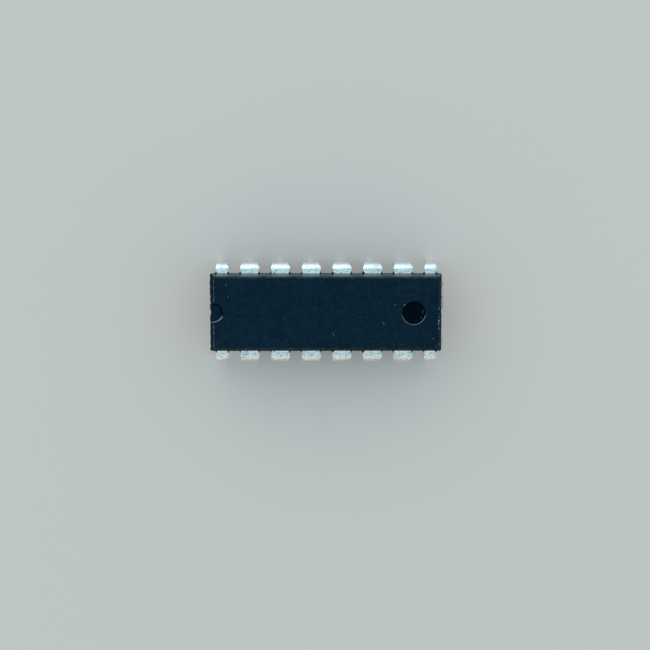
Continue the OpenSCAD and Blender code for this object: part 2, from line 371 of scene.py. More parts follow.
def revolve(profile, centre, up, floor_material, wall_material):
    """A closed solid turned from points (radius, height), the first and last on its axis."""
    bm = bmesh.new()
    rings = []
    for radius, height in profile[1:-1]:
        ring = []
        for i in range(RECESS_SIDES):
            a = 2 * math.pi * i / RECESS_SIDES
            x = centre[0] + radius * math.cos(a)
            y = centre[1] + radius * math.sin(a)
            ring.append((x, y, centre[2] + up * height))
        rings.append(add_ring(bm, ring))
    for lower, upper, point in zip(rings, rings[1:], profile[2:]):
        bridge(bm, lower, upper, wall_material if point[1] < -RECESS_LIP_DEPTH else 0)
    floor = bm.faces.new(rings[0])
    bm.faces.new(rings[-1])
    floor.material_index = floor_material
    bmesh.ops.recalc_face_normals(bm, faces=bm.faces)
    return bm


def mesh_object(name, bm, materials):
    """An object from a bmesh, which is freed."""
    mesh = bpy.data.meshes.new(name)
    bm.to_mesh(mesh)
    bm.free()
    for material in materials:
        mesh.materials.append(material)
    made = bpy.data.objects.new(name, mesh)
    bpy.context.scene.collection.objects.link(made)
    return made


def carve(target, cutter):
    """Cuts one object out of another and removes the cutter."""
    step = target.modifiers.new("carve", "BOOLEAN")
    step.operation = "DIFFERENCE"
    step.solver = "EXACT"
    step.object = cutter
    settled = target.evaluated_get(bpy.context.evaluated_depsgraph_get())
    mesh = bpy.data.meshes.new_from_object(settled)
    target.modifiers.clear()
    old = target.data
    target.data = mesh
    bpy.data.meshes.remove(old)
    bpy.data.objects.remove(cutter)


def finish_piece(made, sharp_degrees=35):
    """Scales a piece from millimetres to metres, shades it and lets it ride on the chip."""
    if not made.data.polygons:
        raise RuntimeError(f"{made.name} came out empty")
    made.data.transform(Matrix.Scale(MM, 4))
    made.data.shade_smooth()
    made.data.set_sharp_from_angle(angle=math.radians(sharp_degrees))
    weighted = made.modifiers.new("weighted_normals", "WEIGHTED_NORMAL")
    weighted.keep_sharp = True
    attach(made, "root")


# Scuffs on the top face, and first a painted glint on the inner wall of the +X ejector mark: x, y, length and
# width in millimetres, angle in degrees, and strength
SCUFFS_AND_GLINT = [
    # Painted highlight: the glint on the ejector mark's inner wall
    (7.90, 0.14, 0.42, 0.13, 84, 0.14),
    (-8.24, 2.30, 0.20, 0.05, 110, 0.8),
    (-8.06, 1.34, 0.14, 0.05, 60, 0.5),
    (0.54, -1.71, 0.36, 0.05, 115, 0.5),
    (4.64, -0.82, 0.38, 0.055, 133, 0.6),
    (5.59, 0.70, 0.28, 0.05, 25, 0.45),
    (6.36, 0.68, 0.24, 0.06, 40, 1.0),
    (7.76, -0.40, 0.09, 0.06, 0, 0.9),
    (9.21, 0.40, 0.15, 0.09, 70, 0.8),
    (9.19, -0.30, 0.12, 0.10, 90, 0.7),
    (9.19, -0.62, 0.24, 0.11, 95, 1.0),
    (9.15, -0.86, 0.16, 0.09, 60, 0.8),
    (9.19, -1.22, 0.20, 0.08, 90, 0.7),
    (9.22, -2.52, 0.16, 0.08, 60, 0.6),
    (9.00, -2.70, 0.30, 0.05, 0, 0.35),
    (8.75, -2.08, 0.11, 0.08, 0, 0.8),
    (8.40, 1.95, 0.10, 0.06, 40, 0.4),
]


def scuff_and_glint_mask(maker, place):
    """Where the short scratches and chips of the top face lie, with a painted glint in an ejector mark."""
    spots = []
    ragged = maker.noise(place, 14, detail=2)
    for x, y, long, wide, degrees, strength in SCUFFS_AND_GLINT:
        offset = maker.vector("SUBTRACT", place, (x, y, BODY_HIGH.z))
        inputs = {"Vector": offset, "Angle": -math.radians(degrees)}
        turned = maker.node("ShaderNodeVectorRotate", inputs, rotation_type="Z_AXIS")
        scaled = maker.vector("MULTIPLY", turned, (2 / long, 2 / wide, 1.0))
        away = maker.math("ADD", maker.size(scaled), maker.times(ragged, 0.7))
        spots.append(maker.ramp(away, 0.9, 1.5, strength, 0.0))
    return maker.largest(spots)


# Painted highlight crescents on the recess rims, where the walls facing the light from +Y catch it, in
# millimetres and degrees:
# what the ring's centre and radius have more than the recess's own, middle angle, half span, half width,
# depth, and what shows beyond the span
HIGHLIGHT_CRESCENTS = {
    "mark": ((0.0, 0.05), -0.04, -90, 80, 0.032, 0.15, 0.12),
    "notch": ((-0.13, 0.43), 0.27, -78, 41, 0.095, 0.5, 0.0),
}


def painted_highlight_crescent_mask(maker, place, recess, recess_x, recess_radius):
    """The painted highlight on the part of a recess rim that faces the light, widest in its middle."""
    (shift_x, shift_y), swell, middle, half_span, half_width, depth, faint = HIGHLIGHT_CRESCENTS[recess]
    way = (math.cos(math.radians(middle)), math.sin(math.radians(middle)), 0)
    centre = (recess_x + shift_x, shift_y, 0)
    offset = maker.vector("MULTIPLY", maker.vector("SUBTRACT", place, centre), (1, 1, 0))
    away = maker.size(offset)
    toward = maker.math("DIVIDE", maker.vector("DOT_PRODUCT", offset, way, "Value"), away)
    limit = math.cos(math.radians(half_span))
    within = maker.ramp(toward, limit - 0.04, limit + 0.12, faint, 1.0)
    # Widest at the middle angle, and nearly nothing opposite to it
    width = maker.times(maker.math("ADD", toward, 1.1), half_width / 2.1)
    ragged = maker.times(maker.noise(place, 5, detail=3), 0.03)
    off_ring = maker.apart(maker.math("SUBTRACT", away, recess_radius + swell), ragged)
    ring = maker.ramp(maker.math("DIVIDE", off_ring, width), 0.55, 1.25, 1, 0)
    foot = BODY_HIGH.z - depth
    near_top = maker.ramp(maker.split(place)[2], foot - 0.05, foot + 0.05)
    return maker.times(maker.times(ring, within), near_top)


# Lowest and highest y of the lighter stretches of the flash at the +X end, broken flash with a painted
# highlight of the lit band
BROKEN_AND_LIT_FLASH = [(0.40, 2.55), (-2.78, -2.25)]

# How far in from the body's greatest reach a point still counts as on that side
SIDE_DEPTH = 0.02


def broken_and_lit_flash(maker, place):
    """The stretches of the +X parting flash that are broken, in a lighter colour that is partly a painted
    highlight of the lit band.
    """
    x, y, z = maker.split(place)
    on_band = maker.ramp(maker.apart(z, LEAD_HIGH.z), 0.02, 0.06, 1, 0)
    on_band = maker.times(on_band, maker.ramp(x, BODY_HIGH.x - SIDE_DEPTH, BODY_HIGH.x))
    stretches = []
    for low, high in BROKEN_AND_LIT_FLASH:
        away = maker.math("SUBTRACT", maker.apart(y, (low + high) / 2), (high - low) / 2)
        stretches.append(maker.ramp(away, -0.1, 0.05, 1, 0))
    broken = maker.ramp(maker.noise(place, 5, detail=4), 0.32, 0.48, 0.0, 0.95)
    return maker.times(maker.times(maker.largest(stretches), on_band), broken)


# How far below the top face the rub and painted highlight of the rim begin and are full, and how strong they
# are on each side
RIM_FOOT = 0.16
RIM_HEAD = 0.05
SIDE_RUB_AND_HIGHLIGHT = 0.14
NOTCH_END_RUB_AND_HIGHLIGHT = 0.38
FAR_END_RUB_AND_HIGHLIGHT = 0.10


def rim_rub_and_highlight_mask(maker, place, upper):
    """Rubbed rims with a painted edge highlight: the rounded strip between the top face and the walls, broken
    up by noise.
    """
    x, y, z = maker.split(place)
    long_edge = maker.math("SUBTRACT", maker.math("ABSOLUTE", x), BODY_HIGH.x - upper)
    wide_edge = maker.math("SUBTRACT", maker.math("ABSOLUTE", y), BODY_HIGH.y - upper)
    beyond = maker.math("MAXIMUM", long_edge, wide_edge)
    off_line = maker.math("ABSOLUTE", maker.math("ADD", beyond, 0.05))
    high_up = maker.ramp(z, BODY_HIGH.z - RIM_FOOT, BODY_HIGH.z - RIM_HEAD)
    on_rim = maker.times(maker.ramp(off_line, 0.02, 0.055, 1, 0), high_up)
    rubbed = maker.times(on_rim, maker.ramp(maker.noise(place, 4, detail=4), 0.36, 0.62))
    # The painted highlight of the rim line is strongest at the notch end
    end_strength = maker.ramp(x, -1.0, 1.0, NOTCH_END_RUB_AND_HIGHLIGHT, FAR_END_RUB_AND_HIGHLIGHT)
    strength = maker.ramp(maker.math("SUBTRACT", long_edge, wide_edge), -0.1, 0.1, SIDE_RUB_AND_HIGHLIGHT, end_strength)
    return maker.times(rubbed, strength)


# Roughness and specular level of the resin on the faces, the walls and the recesses
RESIN_FINISHES = {
    "face": (0.40, 0.15),
    "polished_wall": (0.18, 0.10),
    "torn_wall": (0.60, 0.005),
    "notch_wall": (0.60, 0.0),
    "recess": (0.28, 0.04),
}


def resin_material(settings, finish):
    """Filled epoxy: dark grains and paler filler, spark-eroded faces, rubbed rims and scuffs, with painted
    highlights, a painted wall reflection and painted shade in the ejector marks.
    """
    roughness, specular = RESIN_FINISHES[finish]
    maker = new_material("moulding_compound_" + finish)
    place = maker.millimetres()
    grain = maker.noise(place, 6, detail=5, roughness=0.75)
    cloud = maker.noise(place, 0.30, detail=2)
    blotch = maker.noise(place, 1.8, detail=3, roughness=0.6)
    mottle = maker.math("ADD", maker.times(grain, 0.75), maker.times(blotch, 0.25))
    mottle = maker.math("ADD", mottle, maker.times(cloud, 0.1))
    tone = maker.blend(maker.ramp(mottle, 0.42, 0.68), settings.dark, settings.light)
    cells = maker.cells(place, 3.2)
    chosen = maker.ramp(maker.split(cells["Color"])[0], 0.86, 0.9)
    fleck = maker.times(maker.ramp(cells["Distance"], 0.05, 0.14, 1, 0), chosen)
    tone = maker.blend(maker.times(fleck, 0.25), tone, settings.pale_and_highlight)
    rough = maker.ramp(grain, 0.3, 0.7, roughness - 0.04, roughness + 0.06)
    if finish == "polished_wall":
        # Painted reflection: the smooth wall's colour is blended toward a bluish sheen, palest by the leads,
        # for the leads and blue light mirrored in it; it is also shiniest by the leads
        z = maker.split(place)[2]
        wall_head = BODY_HIGH.z - 0.15
        tone = maker.blend(maker.ramp(z, LEAD_HIGH.z, wall_head, 0.8, 0.2), tone, settings.wall)
        rough = maker.math("ADD", rough, maker.ramp(z, LEAD_HIGH.z, wall_head, 0.0, 0.16))
    if finish == "recess":
        # Painted shade and dark reflection, with the marks' polish: the recess faces turn near black
        tone = maker.blend(maker.ramp(grain, 0.3, 0.9, 0.0, 0.15), settings.floor, tone)
    upper = upper_inset(settings)
    masks = [
        painted_highlight_crescent_mask(maker, place, "mark", settings.mark_offset / MM, settings.mark_radius / MM),
        painted_highlight_crescent_mask(maker, place, "notch", upper - BODY_HIGH.x, settings.notch_radius / MM),
        rim_rub_and_highlight_mask(maker, place, upper),
        scuff_and_glint_mask(maker, place),
    ]
    # Real scuffs and rubbed rims, and painted highlights: the rim crescents, the rim line and a glint in an
    # ejector mark
    tone = maker.blend(maker.largest(masks), tone, settings.pale_and_highlight)
    # Painted highlight in part: the +X flash is lighter where the band catches the light
    tone = maker.blend(broken_and_lit_flash(maker, place), tone, settings.broken)
    fine = maker.noise(place, 26, detail=3, roughness=0.7)
    depth = 0.0008 if finish == "recess" else 0.0035
    return maker.set(
        Base_Color=tone,
        Roughness=rough,
        Specular_IOR_Level=specular,
        Specular_Tint=(0.30, 0.80, 1.0),
        Normal=maker.bump(grain, depth, maker.bump(fine, depth / 2)),
    )


def tin_material(settings):
    """Matt tin plate with spots from the bending tool, drawn scratches, dull patches and a painted reflection
    tint by row.
    """
    maker = new_material("tin_plate")
    place = maker.millimetres()
    y, z = maker.split(place)[1:]
    streak_place = maker.vector("MULTIPLY", place, (0.35, 1.6, 1.0))
    streaks = maker.noise(streak_place, 11, detail=4, roughness=0.65, distortion=0.6)
    spots = maker.noise(maker.vector("MULTIPLY", place, (0.7, 1.3, 1.0)), 10, detail=3, roughness=0.6)
    patches = maker.noise(place, 1.1, detail=4)
    out = maker.math("ABSOLUTE", y)
    from_mark = maker.apart(out, settings.press_mark / MM)
    on_top = maker.ramp(z, LEAD_HIGH.z - 0.16, LEAD_HIGH.z - 0.06)
    pressed = maker.times(maker.ramp(from_mark, 0.06, 0.2, 1, 0), on_top)
    rubbed = maker.times(pressed, maker.ramp(spots, 0.5, 0.6))
    # The bends of the +Y row are less worn than those of the -Y row
    worn_bend = maker.ramp(y, -1.0, 1.0, 1.0, 0.35)
    bend = settings.bend_start / MM
    worn_row = maker.ramp(out, bend - 0.07, bend + 0.05, 0.85, worn_bend)
    worn_top = maker.ramp(z, LEAD_HIGH.z - 0.45, LEAD_HIGH.z - 0.1, 0.3, 1.0)
    worn = maker.times(worn_row, worn_top)
    drawn = maker.times(maker.ramp(streaks, 0.50, 0.63), worn)
    dull = maker.math("MAXIMUM", maker.times(rubbed, 0.75), drawn)
    dull = maker.math("MAXIMUM", dull, maker.ramp(patches, 0.5, 0.8, 0.0, 0.35))
    rough = maker.ramp(streaks, 0.3, 0.75, settings.roughness - 0.05, settings.roughness + 0.14)
    grain = maker.noise(place, 34, detail=2)
    # The sheared sides of the strip stay clean
    sideways = maker.math("ABSOLUTE", maker.split(maker.node("ShaderNodeTexCoord", {}, "Normal"))[0])
    dull = maker.times(dull, maker.ramp(sideways, 0.25, 0.6, 1, 0))
    # Painted reflection: the tin turns sky blue toward the +Y row and greyer toward the -Y row
    clean = maker.blend(maker.ramp(y, -1.0, 1.0), settings.front_row_tin, settings.tin)
    return maker.set(
        Base_Color=maker.blend(dull, clean, settings.dull),
        Metallic=1.0,
        Roughness=rough,
        Normal=maker.bump(streaks, 0.006, maker.bump(grain, 0.0015)),
    )


# Half sides of the plated spot on the die pad
SPOT_X = 2.0
SPOT_Y = 1.25


def copper_material(settings):
    """Rolled copper alloy with the spot plating that the die is bonded to."""
    maker = new_material("lead_frame_copper")
    place = maker.millimetres()
    x, y = maker.split(place)[:2]
    rolled = maker.noise(maker.vector("MULTIPLY", place, (0.3, 6.0, 1.0)), 6, detail=4)
    beyond_x = maker.math("SUBTRACT", maker.math("ABSOLUTE", x), SPOT_X)
    beyond_y = maker.math("SUBTRACT", maker.math("ABSOLUTE", y), SPOT_Y)
    beyond = maker.math("MAXIMUM", beyond_x, beyond_y)
    plated = maker.ramp(maker.math("ADD", beyond, maker.times(rolled, 0.08)), 0.0, 0.06, 1, 0)
    worn = maker.blend(maker.ramp(rolled, 0.35, 0.75), settings.copper, [0.7 * c for c in settings.copper])
    return maker.set(
        Base_Color=maker.blend(plated, worn, settings.plating),
        Metallic=1.0,
        Roughness=maker.ramp(rolled, 0.3, 0.7, 0.28, 0.42),
        Normal=maker.bump(rolled, 0.003),
    )


def silicon_material(settings):
    """Polished die with blocks of metal tracks on its upper face."""
    maker = new_material("silicon")
    place = maker.millimetres()
    lines = maker.node("ShaderNodeTexBrick", {"Vector": place, "Scale": 9.0, "Mortar Size": 0.03}, "Fac")
    die_top = cad_mm("silicon_die")[1].z
    on_top = maker.ramp(maker.split(place)[2], die_top - 0.02, die_top - 0.005)
    block = maker.ramp(maker.cells(place, 5.0, "CHEBYCHEV")["Distance"], 0.30, 0.34, 0.25, 0.75)
    shown = maker.times(maker.math("MAXIMUM", maker.times(lines, 0.9), block), on_top)
    haze = maker.noise(place, 7, detail=3)
    return maker.set(
        Base_Color=maker.blend(shown, settings.silicon, settings.tracks),
        Metallic=0.6,
        Roughness=maker.ramp(haze, 0.3, 0.7, 0.12, 0.24),
        Normal=maker.bump(shown, 0.001),
    )


def gold_material(settings):
    """Drawn gold wire with faint die lines."""
    maker = new_material("gold_wire")
    place = maker.millimetres()
    lines = maker.noise(maker.vector("MULTIPLY", place, (1.0, 1.0, 5.0)), 30, detail=3)
    return maker.set(
        Base_Color=maker.blend(lines, settings.gold, [0.85 * c for c in settings.gold]),
        Metallic=1.0,
        Roughness=maker.ramp(lines, 0.3, 0.7, 0.14, 0.26),
        Normal=maker.bump(lines, 0.0008),
    )


def upper_inset(settings):
    """How far the walls lean in from the parting band to the top face."""
    band_high = BODY_LOW.z + (settings.band_base + settings.band) / MM
    return (BODY_HIGH.z - band_high) * math.tan(settings.draft)


# Where a wall has rings of points between rim and parting band, as shares of the way
WALL_SHARES = (0.25, 0.5, 0.75)


def wall_stations(settings):
    """Inset from the widest outline and height, from the underside's rim up to the top's rim."""
    lean = math.tan(settings.draft)
    rim = settings.rim / MM
    rim_set = rim * math.tan((math.pi / 2 - settings.draft) / 2)
    draft_degrees = math.degrees(settings.draft)
    band_low = BODY_LOW.z + settings.band_base / MM
    band_high = band_low + settings.band / MM
    flash = settings.flash / MM
    lower = (band_low - BODY_LOW.z) * lean
    lower_arc = arc_points((-(lower + rim_set), BODY_LOW.z + rim), rim, -90, -draft_degrees, 5)
    stations = [(-point.x, point.y) for point in lower_arc]
    for rise in WALL_SHARES:
        height = BODY_LOW.z + rim + (band_low - BODY_LOW.z - rim) * rise
        stations.append(((band_low - height) * lean, height))
    stations += [(flash, band_low - flash), (0.0, band_low), (0.0, band_high), (flash, band_high + flash)]
    for rise in WALL_SHARES:
        height = band_high + (BODY_HIGH.z - rim - band_high) * rise
        stations.append(((height - band_high) * lean, height))
    upper_axis = (-(upper_inset(settings) + rim_set), BODY_HIGH.z - rim)
    return stations + [(-point.x, point.y) for point in arc_points(upper_axis, rim, draft_degrees, 90, 6)]


# Points along the body's long and short sides
LONG_STEPS = 380
SHORT_STEPS = 90


def body_outline(half_x, half_y, radius):
    """Counter-clockwise rounded rectangle with points along its sides."""
    arcs = []
    for side_x, side_y, start in ((1, -1, -90), (1, 1, 0), (-1, 1, 90), (-1, -1, 180)):
        centre = (side_x * (half_x - radius), side_y * (half_y - radius))
        arcs.append(arc_points(centre, radius, start, start + 90, 6))
    points = []
    for i, arc in enumerate(arcs):
        run = arcs[(i + 1) % 4][0] - arc[-1]
        count = LONG_STEPS if i % 2 else SHORT_STEPS
        points += arc + [arc[-1] + run * k / count for k in range(1, count)]
    return points


# Largest unevenness of a wall
UNEVENNESS = 0.005


def roughen(point, height):
    """Small unevenness of a moulded wall."""
    spot = Vector((point.x * 1.7, point.y * 1.7, height * 2.3))
    return abs(UNEVENNESS * noise.noise(spot) + 0.5 * UNEVENNESS * noise.noise(spot * 4.1))


# Torn flash of the ends: clear strip beside a tie bar, the -X end's nicks along y and their half width, and
# the +X end's burr as a share of the -X end's, where it is broken and painted lighter, partly as a highlight,
# and elsewhere
TIE_MARGIN = 0.04
NICKS = (0.78, -0.88)
NICK_HALF = 0.14
PALE_BURR = 1.5
FAR_BURR = 0.3


def end_burr(settings, point):
    """How far the torn flash stands out of an end face, with two nicks beside the notch."""
    ragged = 0.7 + 0.5 * noise.noise(Vector((point.x, point.y * 3.1, 2.0)))
    ragged += 0.3 * noise.noise(Vector((0, point.y * 11, 5.0)))
    if abs(point.y) < settings.tie / MM / 2 + TIE_MARGIN:
        return 0.0
    if point.x > 0:
        pale_and_highlight = any(low < point.y < high for low, high in BROKEN_AND_LIT_FLASH)
        return settings.burr / MM * (PALE_BURR if pale_and_highlight else FAR_BURR) * max(0.0, ragged)
    for nick in NICKS:
        ragged *= min(1.0, abs(point.y - nick) / NICK_HALF)
    ragged *= 1.0 + 0.25 * point.y / BODY_HIGH.y
    return -settings.burr / MM * max(0.0, ragged)


# Flash of the long sides: mean stand and variation, and the fillets' width and share of the room at a lead
SIDE_FLASH = 0.006
SIDE_VARIATION = 0.014
FILLET_WIDTH = 0.10
FILLET_SHARE = 0.85


def side_burr(point):
    """How far the flash stands out of a long side, with a fillet where it meets each lead."""
    leads = bpy.context.scene.chip_leads
    pitch = leads.pitch / MM
    rank = min(ROW // 2 - 1, int(abs(point.x) / pitch))
    from_lead = abs(point.x) - (rank + 0.5) * pitch
    half_neck = leads.neck / MM / 2
    if rank == ROW // 2 - 1 and from_lead > 0:
        half_neck -= (leads.stub / MM / 2 - leads.end_reach / MM)
    gap = abs(from_lead) - half_neck
    if gap < 0:
        return 0.0
    ragged = SIDE_FLASH + SIDE_VARIATION * noise.noise(Vector((point.x * 2.7, point.y, 7.0)))
    room = (leads.stub_start / MM - BODY_HIGH.y) * FILLET_SHARE
    fillet = room * math.exp(-((gap / FILLET_WIDTH) ** 2))
    return math.copysign(max(ragged, fillet), point.y)


# From where on a point of the outline is pulled fully along x and along y
PULL_X = 9.0
PULL_Y = 2.8


def inward(point):
    """Direction from a point of the outline into the body, slanting near the upright corners."""
    pull_x = max(-1, min(1, point.x / PULL_X)) ** 7
    pull_y = max(-1, min(1, point.y / PULL_Y)) ** 7
    return -Vector((pull_x, pull_y)).normalized()


def build_body_shell(settings):
    """The body without its recesses."""
    bm = bmesh.new()
    rings = []
    for set_in, height in wall_stations(settings):
        outline = body_outline(BODY_HIGH.x - set_in, BODY_HIGH.y - set_in, settings.corner / MM)
        on_band = set_in == 0
        ring = []
        for point in outline:
            shift = inward(point) * roughen(point, height)
            if on_band and abs(point.x) > BODY_HIGH.x - SIDE_DEPTH:
                shift.x += end_burr(settings, point)
            elif on_band and abs(point.y) > BODY_HIGH.y - SIDE_DEPTH:
                shift.y += side_burr(point)
            ring.append((point.x + shift.x, point.y + shift.y, height))
        rings.append(add_ring(bm, ring))
    for lower, upper in zip(rings, rings[1:]):
        bridge(bm, lower, upper)
    bm.faces.new(list(reversed(rings[0])))
    bm.faces.new(rings[-1])
    return bm


# Rounding at the foot of a recess, and the flare of its cutter past the rim, its slope and the rise above it
RECESS_FOOT = 0.04
FLARE = 0.3
FLARE_SLOPE = math.tan(math.radians(9))
CUTTER_RISE = 0.3


def recess_profile(*sizes):
    """Half section of a recess from its radius, depth, lean and lip in metres, with the floor at -depth."""
    radius, depth, run, lip = [size / MM for size in sizes]
    rise = FLARE * FLARE_SLOPE
    corners = [
        (0, -depth, 0),
        (radius - run, -depth, RECESS_FOOT),
        (radius, 0, lip),
        (radius + FLARE, rise, 0),
        (radius + FLARE, rise + CUTTER_RISE, 0),
        (0, rise + CUTTER_RISE, 0),
    ]
    return [(p.x, p.y) for p in rounded(corners, closed=False, steps=6)]


# A face is a wall where the z of its normal is below the first, and smooth where y is above the second
WALL_TILT = 0.4
SMOOTH_SIDE = 0.7


class ChipBuildBody(bpy.types.Operator):
    """Build the moulded body with its notch and ejector marks"""

    bl_idname = "chip.build_body"
    bl_label = "Moulded Body"

    def execute(self, context):
        settings = context.scene.chip_body
        resins = [resin_material(settings, finish) for finish in RESIN_FINISHES]
        index = {finish: i for i, finish in enumerate(RESIN_FINISHES)}
        body = mesh_object("moulded_body_skin", build_body_shell(settings), resins)
        mark = recess_profile(settings.mark_radius, settings.mark_depth, settings.mark_run, settings.lip)
        notch = recess_profile(settings.notch_radius, settings.notch_depth, settings.notch_run, settings.lip)
        notch_x = upper_inset(settings) - BODY_HIGH.x
        mark_x = settings.mark_offset / MM
        cuts = [
            (notch, (notch_x, 0, BODY_HIGH.z), 1, "face", "notch_wall"),
            (mark, (mark_x, 0, BODY_HIGH.z), 1, "recess", "recess"),
            (mark, (mark_x, 0, BODY_LOW.z), -1, "recess", "recess"),
            (mark, (-mark_x, 0, BODY_LOW.z), -1, "recess", "recess"),
        ]
        for profile, centre, up, floor, wall in cuts:
            turned = revolve(profile, centre, up, index[floor], index[wall])
            carve(body, mesh_object("cutter", turned, resins))
        for face in body.data.polygons:
            if face.material_index == index["face"] and abs(face.normal.z) < WALL_TILT:
                wall = "polished_wall" if face.normal.y > SMOOTH_SIDE else "torn_wall"
                face.material_index = index[wall]
        finish_piece(body)
        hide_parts("moulded_body")
        return {"FINISHED"}


# The lead inside the body, measured in from the wall: end, start and depth of its lock notches, and root
LOCK_END = 0.25
LOCK_START = 0.45
LOCK_DEPTH = 0.18
ROOT_DEPTH = 0.75

# Steps of the arc that ends a stub
STUB_STEPS = 6


def flank(settings, reaches, bend_mid, corner):
    """One side of a lead from its root to its tip, as (reach, distance along the strip, radius)."""
    neck, stub, waist, top, low = reaches
    turn_end = bend_mid * math.pi / 2
    start = settings.bend_start / MM
    wall = BODY_HIGH.y
    outer = settings.bend_radius / MM + settings.strip / MM
    seat = settings.seat / MM
    axis_z = LEAD_HIGH.z - outer
    points = [
        (neck, wall - ROOT_DEPTH - start, 0.05),
        (neck, wall - LOCK_START - start, 0.03),
        (neck - LOCK_DEPTH, wall - LOCK_START - start, 0.03),
        (neck - LOCK_DEPTH, wall - LOCK_END - start, 0.03),
        (neck, wall - LOCK_END - start, 0.03),
        (neck, settings.stub_start / MM - start, 0.03),
        (stub, settings.stub_start / MM - start, 0.045),
    ]
    # The corner of the stub is round seen from above, so its points spread over the bend
    corner_v = outer * math.sin(settings.stub_angle)
    span = math.acos((waist - stub + corner) / corner)
    for i in range(STUB_STEPS + 1):
        a = span * i / STUB_STEPS
        v = corner_v + corner * math.sin(a)
        points.append((stub - corner + corner * math.cos(a), bend_mid * math.asin(v / outer), 0))
    points += [
        (top, turn_end, 0.3),
        (low, turn_end + axis_z - seat - settings.step / MM, 0.12),
        (settings.leg / MM / 2, turn_end + axis_z - seat, 0.14),
        (settings.leg / MM / 2, turn_end + axis_z - settings.tip_height / MM, 0.2),
        (settings.tip / MM / 2, turn_end + axis_z, 0.05),
    ]
    return points


# Fingers inside the body: width, straight run from the root, and tips by the pad's long and short sides
FINGER_WIDTH = 0.45
FINGER_RUN = 0.12
LONG_TIP_PITCH = 1.2
LONG_TIP_BEND = 1.82
LONG_TIP_END = 1.7
SHORT_TIP_FIRST = 0.575
SHORT_TIP_PITCH = 0.65
SHORT_TIP_END = 2.5


def finger_sides(rank, root_x):
    """Both sides of the finger inside the body, from the root to its tip by the die pad."""
    root_v = BODY_HIGH.y - ROOT_DEPTH
    v = root_v - FINGER_RUN
    if rank < ROW // 4:
        x_tip = (rank + 0.5) * LONG_TIP_PITCH
        path = [(root_x, root_v), (root_x, v), (x_tip, LONG_TIP_BEND), (x_tip, LONG_TIP_END)]
    else:
        v_tip = SHORT_TIP_FIRST + (ROW // 2 - 1 - rank) * SHORT_TIP_PITCH
        path = [(root_x, root_v), (root_x, v), (root_x - (v - v_tip), v_tip), (SHORT_TIP_END, v_tip)]
    path = [Vector(p) for p in path]
    ways = [(b - a).normalized() for a, b in zip(path, path[1:])]
    corners = list(zip(path, ways[:1] + ways, ways + ways[-1:]))
    half = FINGER_WIDTH / 2
    return [[p + side * mitre(before, after) for p, before, after in corners] for side in (half, -half)]


def lead_outline(settings, rank, bend_mid, bias):
    """Flat pattern of a lead of the +X half of the -Y row: x along the row, y along the strip."""
    corner = settings.stub_corner / MM
    centre = (rank + 0.5) * settings.pitch / MM
    neck = settings.neck / MM / 2
    stub = settings.stub / MM / 2
    shift = math.copysign(settings.stub_shift / MM, bias)
    lower = [width / MM / 2 for width in (settings.waist, settings.shoulder_top, settings.shoulder_low)]
    inner = flank(settings, (neck, stub - shift, *lower), bend_mid, corner + bias)
    outer = flank(settings, (neck, stub + shift, *lower), bend_mid, corner - bias)
    if rank == ROW // 2 - 1:
        end = settings.end_reach / MM
        drawn_in = end - settings.end_draw / MM
        reaches = (end - stub + neck, end, drawn_in, drawn_in, settings.leg / MM / 2)
        outer = flank(settings, reaches, bend_mid, corner)
    root_x = centre + (outer[0][0] - neck) / 2
    start = settings.bend_start / MM
    first, second = finger_sides(rank, root_x)
    corners = [(centre + x, s, r) for x, s, r in outer]
    corners += [(centre - x, s, r) for x, s, r in reversed(inner)]
    finger_radii = (0.04, 0.08, 0.1, 0.06)
    # The outline goes on from the inner side of the root, so the finger's side of lower x comes first
    if first[0].x > second[0].x:
        first, second = second, first
    corners += [(p.x, p.y - start, r) for p, r in zip(first, finger_radii)]
    corners += [(p.x, p.y - start, r) for p, r in reversed(list(zip(second, finger_radii)))]
    return rounded(corners)


def counter_clockwise(outline):
    area = sum(a.x * b.y - b.x * a.y for a, b in zip(outline, outline[1:] + outline[:1]))
    return outline if area > 0 else outline[::-1]


def bend_strip(settings, bm, bend_mid, lean):
    """Bends a flat strip: x stays, y runs along the strip, z is the height over its middle."""
    start = settings.bend_start / MM
    axis_z = LEAD_HIGH.z - settings.bend_radius / MM - settings.strip / MM
    full_turn = math.pi / 2 + lean
    turn_end = bend_mid * full_turn
    for vert in bm.verts:
        x, s, h = vert.co
        radius = bend_mid + h
        turn = min(max(s / bend_mid, 0.0), full_turn)
        v = start + radius * math.sin(turn)
        z = axis_z + radius * math.cos(turn)
        if s < 0:
            v += s
        elif s > turn_end:
            v += (s - turn_end) * math.cos(full_turn)
            z -= (s - turn_end) * math.sin(full_turn)
        vert.co = (x, -v, z)


# Angles of the rings that round the strip's edges, steps of the bend, and where shoulder and leg are divided
EDGE_ANGLES = [math.radians(degrees) for degrees in (0, 30, 60, 90)]
BEND_STEPS = 14
LEG_CUTS = [1.2, 1.8, 2.6, 3.4, 4.2]


